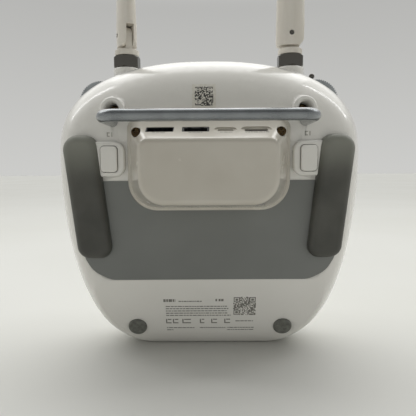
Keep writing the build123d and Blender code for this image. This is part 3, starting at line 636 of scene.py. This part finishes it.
def dot_tile(name, node, origin, up, side, columns, seed, finish_used):
    """A square of random dots, with the three corner rings such tiles have, laid on the skin."""
    pitch = side / columns
    field = grown(tile_tree, name, Columns=columns, Pitch=pitch, Seed=seed, Finish=finish_used)
    bm = bmesh.new()
    bm.from_mesh(field)
    edge = side / 2 - CORNER_DOTS * pitch
    gone = []
    for block in loose_blocks(bm):
        place = sum((vert.co for vert in block), Vector()) / len(block)
        in_corner = min(abs(place.x), abs(place.y)) > edge
        if in_corner and (place.x < 0 or place.y > 0):
            gone.extend(block)
    bmesh.ops.delete(bm, geom=gone, context="VERTS")
    for cx, cy in ((-1, -1), (-1, 1), (1, 1)):
        ring = side / 2 - CORNER_DOTS / 2 * pitch
        x, y = cx * ring, cy * ring
        for x0, x1, y0, y1 in CORNER_RING:
            tablet(bm, x + x0 * pitch, x + x1 * pitch, y + y0 * pitch, y + y1 * pitch, top=0.05 * MM)
    lay_on(bm, node, origin, up)
    from_bmesh(bm, name, "case", record_slots["back_panel"], [finish_used], smooth=False)


STICKER_AT = (-2.4 * MM, -26.0 * MM, 141.6 * MM)
STICKER_UP = (0.0, 0.62, 0.78)
STICKER_HALF = 6.4 * MM
STICKER_STEPS = 12            # strips each way, so that the label follows the shoulder


def tile_sticker():
    """A pale label about 13 mm square on the shoulder of the case, with a tile of dots on it."""
    bm = bmesh.new()
    half, strip = STICKER_HALF, 2 * STICKER_HALF / STICKER_STEPS
    for i in range(STICKER_STEPS):
        y = -half + 2 * half * i / STICKER_STEPS
        tablet(bm, -half, half, y, y + strip, top=0.04 * MM, steps=STICKER_STEPS)
    bmesh.ops.remove_doubles(bm, verts=bm.verts, dist=0.001 * MM)
    across = [face for face in bm.faces if len({round(vert.co.y, 7) for vert in face.verts}) == 1]
    inner = [face for face in across if abs(face.verts[0].co.y) < half * 0.99]
    bmesh.ops.delete(bm, geom=inner, context="FACES_ONLY")
    lay_on(bm, "back_shell", STICKER_AT, STICKER_UP)
    from_bmesh(bm, "tile_sticker", "case", record_slots["back_panel"], [paper], smooth=False)
    dot_tile("sticker_dots", "back_shell", STICKER_AT, STICKER_UP, side=9.4 * MM, columns=21, seed=5,
             finish_used=code_ink)


PORT_FACE_AT = (0.0, -44.6 * MM, 125.8 * MM)
PORT_FACE_UP = (0.0, 0.897, 0.4416)
PORT_PRINT = (("usb_a_socket", 7.0, 0.7), ("can_socket", 7.0, 0.7), ("micro_usb_socket", 6.0, 0.6),
              ("mini_hdmi_socket", 12.0, 1.0))        # the port, and the width and height of its print in mm
PORT_PRINT_DOWN = -4.4 * MM
BUTTON_MARK_AT = (0.0, -31.0 * MM, 124.4 * MM)
BUTTON_MARK = ((-1.6, -0.9, -1.2, 1.2), (-1.6, 0.0, 0.6, 1.2), (-1.6, 0.0, -1.2, -0.6), (0.7, 1.4, -1.2, 1.2))


def port_marks():
    """A short line of small print under each port, and a mark over each rear button."""
    rng = random.Random(11)
    bm = bmesh.new()
    for socket, width, height in PORT_PRINT:
        x = middle(socket).x
        dash_row(bm, rng, x - width / 2 * MM, x + width / 2 * MM, PORT_PRINT_DOWN, height * MM)
    lay_on(bm, "port_module_shell", PORT_FACE_AT, PORT_FACE_UP)
    from_bmesh(bm, "port_marks", "case", record_slots["back_panel"], [ink], smooth=False)
    bm = bmesh.new()
    for button in ("rear_button_left", "rear_button_right"):
        x = middle(button).x
        for x0, x1, y0, y1 in BUTTON_MARK:
            tablet(bm, x + x0 * MM, x + x1 * MM, y0 * MM, y1 * MM)
    lay_on(bm, "back_shell", BUTTON_MARK_AT, (0, 0, 1))
    from_bmesh(bm, "button_marks", "case", record_slots["back_panel"], [faint_ink], smooth=False)


chin_print()
dot_tile("chin_dots", "back_shell", CHIN_DOTS_AT, CHIN_UP, side=12.4 * MM, columns=25, seed=9,
         finish_used=ink)
tile_sticker()
port_marks()


# ---------------------------------------------------------------- ribs, knurls and the joint line
def ribbed_ring_tree():
    """Grows equal ribs round a circle that lies across Y, and joins them to the piece they belong to."""
    tree = bpy.data.node_groups.new("ribbed_ring", "GeometryNodeTree")
    inputs = {"Piece": "Geometry", "Count": "Int", "Radius": "Float", "Rib": "Vector", "Centre": "Vector",
              "Finish": "Material"}
    for name, kind in inputs.items():
        tree.interface.new_socket(name, in_out="INPUT", socket_type=f"NodeSocket{kind}")
    tree.interface.new_socket("Geometry", in_out="OUTPUT", socket_type="NodeSocketGeometry")
    given = add(tree, "NodeGroupInput").outputs
    circle = add(tree, "GeometryNodeMeshCircle", {}, Vertices=given["Count"], Radius=given["Radius"])
    rib = add(tree, "GeometryNodeMeshCube", {}, Size=given["Rib"])
    place = add(tree, "GeometryNodeInputPosition")
    turn = add(tree, "FunctionNodeAlignRotationToVector", {"axis": "X"}, Vector=place.outputs[0])
    set_round = add(tree, "GeometryNodeInstanceOnPoints", {}, Points=circle.outputs["Mesh"],
                    Instance=rib.outputs["Mesh"], Rotation=turn.outputs[0])
    real = add(tree, "GeometryNodeRealizeInstances", {}, Geometry=set_round.outputs[0])
    lay = add(tree, "GeometryNodeTransform", {"Rotation": (math.pi / 2, 0, 0)}, Geometry=real.outputs[0],
              Translation=given["Centre"])
    both = add(tree, "GeometryNodeJoinGeometry")
    tree.links.new(given["Piece"], both.inputs[0])
    tree.links.new(lay.outputs[0], both.inputs[0])
    again = add(tree, "GeometryNodeRealizeInstances", {}, Geometry=both.outputs[0])
    painted = add(tree, "GeometryNodeSetMaterial", {}, Geometry=again.outputs[0], Material=given["Finish"])
    add(tree, "NodeGroupOutput", {}, Geometry=painted.outputs[0])
    return tree


ribbed_ring = ribbed_ring_tree()


RIB_SHARE = 0.86              # how much of a rim's width its ribs cover


def ribbed_piece(node, count, rib_width, rib_depth, y_range, reach, waist):
    """A round CAD piece drawn in a little at its rim, with ribs out to its full radius."""
    mesh = welded(node)
    centre = middle(node)
    for vert in mesh.vertices:
        out = Vector((vert.co.x - centre.x, 0, vert.co.z - centre.z))
        if out.length > reach * 0.9 and y_range[0] < vert.co.y < y_range[1]:
            out.length = min(out.length, waist)
            vert.co.x, vert.co.z = centre.x + out.x, centre.z + out.z
    rib = (rib_depth * 2, rib_width, (y_range[1] - y_range[0]) * RIB_SHARE)
    mesh = grown(ribbed_ring, f"{node}_ribbed", start=mesh, Count=count, Radius=reach - rib_depth, Rib=rib,
                 Centre=(centre.x, sum(y_range) / 2, centre.z), Finish=material_of[node])
    smooth_by_angle(mesh, 30)
    obj = piece_from(mesh, f"{node}_ribbed", body_of[node], record_slots[node], [material_of[node]])
    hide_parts(node)


for node in ("gimbal_dial", "camera_dial"):
    low, high = corners(node)
    reach = (high.x - low.x) / 2
    ribbed_piece(node, 60, 0.7 * MM, 0.55 * MM, (low.y, high.y), reach, reach - 0.5 * MM)
for node in ("left_stick_cap", "right_stick_cap"):
    low, high = corners(node)
    ribbed_piece(node, 28, 0.5 * MM, 0.3 * MM, (low.y + 3.0 * MM, high.y - 1.4 * MM), 4.95 * MM, 4.7 * MM)


PAD_RIBS = 14
PAD_RIB_WIDTH = 1.4 * MM
PAD_RIB_HEIGHT = 0.35 * MM
PAD_RIB_SHARE = 0.9           # how much of the pad's depth a rib crosses


def ribbed_pad(node, up):
    """A holder pad with moulded cross ribs on its gripping face."""
    low, high = corners(node)
    bm = bmesh.new()
    bm.from_mesh(welded(node))
    face = high.z if up else low.z
    proud = PAD_RIB_HEIGHT if up else -PAD_RIB_HEIGHT
    for i in range(PAD_RIBS):
        x = low.x + (high.x - low.x) * (i + 0.5) / PAD_RIBS
        for vert in bmesh.ops.create_cube(bm, size=1.0)["verts"]:
            y = (low.y + high.y) / 2 + vert.co.y * (high.y - low.y) * PAD_RIB_SHARE
            vert.co = Vector((x + vert.co.x * PAD_RIB_WIDTH, y, face + vert.co.z * proud))
    obj = from_bmesh(bm, f"{node}_ribbed", body_of[node], record_slots[node], [material_of[node]],
                     smooth=False)
    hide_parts(node)


ribbed_pad("holder_top_pad", up=False)
ribbed_pad("holder_jaw_pad", up=True)


JOINT_STEPS = 220
JOINT_FIRST, JOINT_SWEEP = -62, 304       # degrees round the case from +X, leaving out the flat it stands on
JOINT_CENTRE_Z = 100 * MM
JOINT_SECTION = ((-0.45, -0.1), (-0.45, 0.03), (0.0, 0.03), (0.0, -0.1))  # in mm: Y, height over the skin
OUTSIDE = 150 * MM            # farther out than any of the case


def joint_line():
    """The fine dark line where the two shells meet, run round the case just above the table."""
    skin = skin_of("back_shell")
    bm = bmesh.new()
    rows = []
    for i in range(JOINT_STEPS + 1):
        angle = math.radians(JOINT_FIRST + JOINT_SWEEP * i / JOINT_STEPS)
        out = Vector((math.cos(angle), 0, math.sin(angle)))
        row = []
        for y, lift in JOINT_SECTION:
            start = Vector((0, min(y, -0.05) * MM, JOINT_CENTRE_Z)) + out * OUTSIDE
            hit = skin.ray_cast(start, -out)[0]
            place = hit + out * lift * MM
            place.y = y * MM
            row.append(bm.verts.new(place))
        rows.append(row)
    for a, b in zip(rows, rows[1:]):
        for k in range(4):
            bm.faces.new((a[k], a[(k + 1) % 4], b[(k + 1) % 4], b[k]))
    bm.faces.new(rows[0])
    bm.faces.new(rows[-1][::-1])
    from_bmesh(bm, "joint_line", "case", record_slots["back_shell"], [seam], smooth=False)


joint_line()


# ---------------------------------------------------------------- camera, light and floor
CAMERA_AT = Vector((0.9, -261.1, 106.6)) * MM
CAMERA_YAW = math.radians(0.383)
CAMERA_PITCH = math.radians(-5.48)
CAMERA_ROLL = math.radians(-0.384)
SENSOR_MM = 36.0
LENS_MM = 36.727


def make_camera():
    data = bpy.data.cameras.new("camera")
    data.sensor_width = SENSOR_MM
    data.lens = LENS_MM
    data.clip_start = 0.01
    camera = bpy.data.objects.new("camera", data)
    turn = Matrix.Rotation(CAMERA_YAW, 4, "Z") @ Matrix.Rotation(math.pi / 2 + CAMERA_PITCH, 4, "X")
    camera.matrix_world = Matrix.Translation(CAMERA_AT) @ turn @ Matrix.Rotation(CAMERA_ROLL, 4, "Z")
    bpy.context.scene.collection.objects.link(camera)
    bpy.context.scene.camera = camera


def area_light(name, at, towards, size, power):
    data = bpy.data.lights.new(name, "AREA")
    data.shape = "RECTANGLE"
    data.size, data.size_y = size
    data.energy = power
    lamp = bpy.data.objects.new(name, data)
    lamp.location = at
    lamp.rotation_euler = (Vector(towards) - Vector(at)).to_track_quat("-Z", "Y").to_euler()
    bpy.context.scene.collection.objects.link(lamp)


FLOOR_REACH = 6.0
FLOOR_GAP = 0.2 * MM          # keeps the floor from touching the feet of the case


def make_floor():
    """A wide flat table top."""
    mesh = bpy.data.meshes.new("floor")
    square = [(x * FLOOR_REACH, y * FLOOR_REACH, 0) for x, y in ((-1, -1), (1, -1), (1, 1), (-1, 1))]
    mesh.from_pydata(square, [], [(0, 1, 2, 3)])
    floor = bpy.data.objects.new("floor", mesh)
    floor.location.z = cad_box[0][2] - FLOOR_GAP
    mesh.materials.append(pale_floor())
    bpy.context.scene.collection.objects.link(floor)


WALL_LEVELS = (0.60, 0.46)    # brightness at the horizon, and where the wall meets the ceiling
CEILING_LEVELS = (0.16, 1.7)  # brightness on the camera's side, and beyond the case


def make_world():
    """A studio room as light from all round: even walls, and a ceiling that is bright beyond the case."""
    world = bpy.data.worlds.new("studio")
    bpy.context.scene.world = world
    world.use_nodes = True
    tree = world.node_tree
    way = add(tree, "ShaderNodeSeparateXYZ", {}, Vector=add(tree, "ShaderNodeTexCoord").outputs["Generated"])
    horizon, wall_top = WALL_LEVELS
    near, beyond = CEILING_LEVELS
    wall = add(tree, "ShaderNodeMapRange",
               {"From Min": 0.0, "From Max": 0.36, "To Min": horizon, "To Max": wall_top},
               Value=way.outputs["Z"])
    ceiling = add(tree, "ShaderNodeMapRange",
                  {"From Min": -0.35, "From Max": 0.35, "To Min": near, "To Max": beyond},
                  Value=way.outputs["Y"])
    rise = add(tree, "ShaderNodeMapRange",
               {"From Min": 0.33, "From Max": 0.6, "interpolation_type": "SMOOTHSTEP"},
               Value=way.outputs["Z"])
    level = add(tree, "ShaderNodeMix", {}, i0=rise.outputs[0], i2=wall.outputs[0], i3=ceiling.outputs[0])
    tree.links.new(level.outputs[0], tree.nodes["Background"].inputs["Strength"])
    tree.nodes["Background"].inputs["Color"].default_value = linear("#fffffc")


make_camera()
make_floor()
make_world()
bpy.context.scene.view_settings.view_transform = "Standard"
area_light("ceiling_panel", at=(0.0, 0.35, 0.9), towards=(0.0, 0.0, 0.10), size=(0.9, 0.5), power=1.6)
area_light("strip_left", at=(-0.75, 0.15, 0.9), towards=(0.0, 0.0, 0.12), size=(0.06, 0.6), power=0.9)
area_light("strip_right", at=(0.75, 0.15, 0.9), towards=(0.0, 0.0, 0.12), size=(0.06, 0.6), power=0.9)
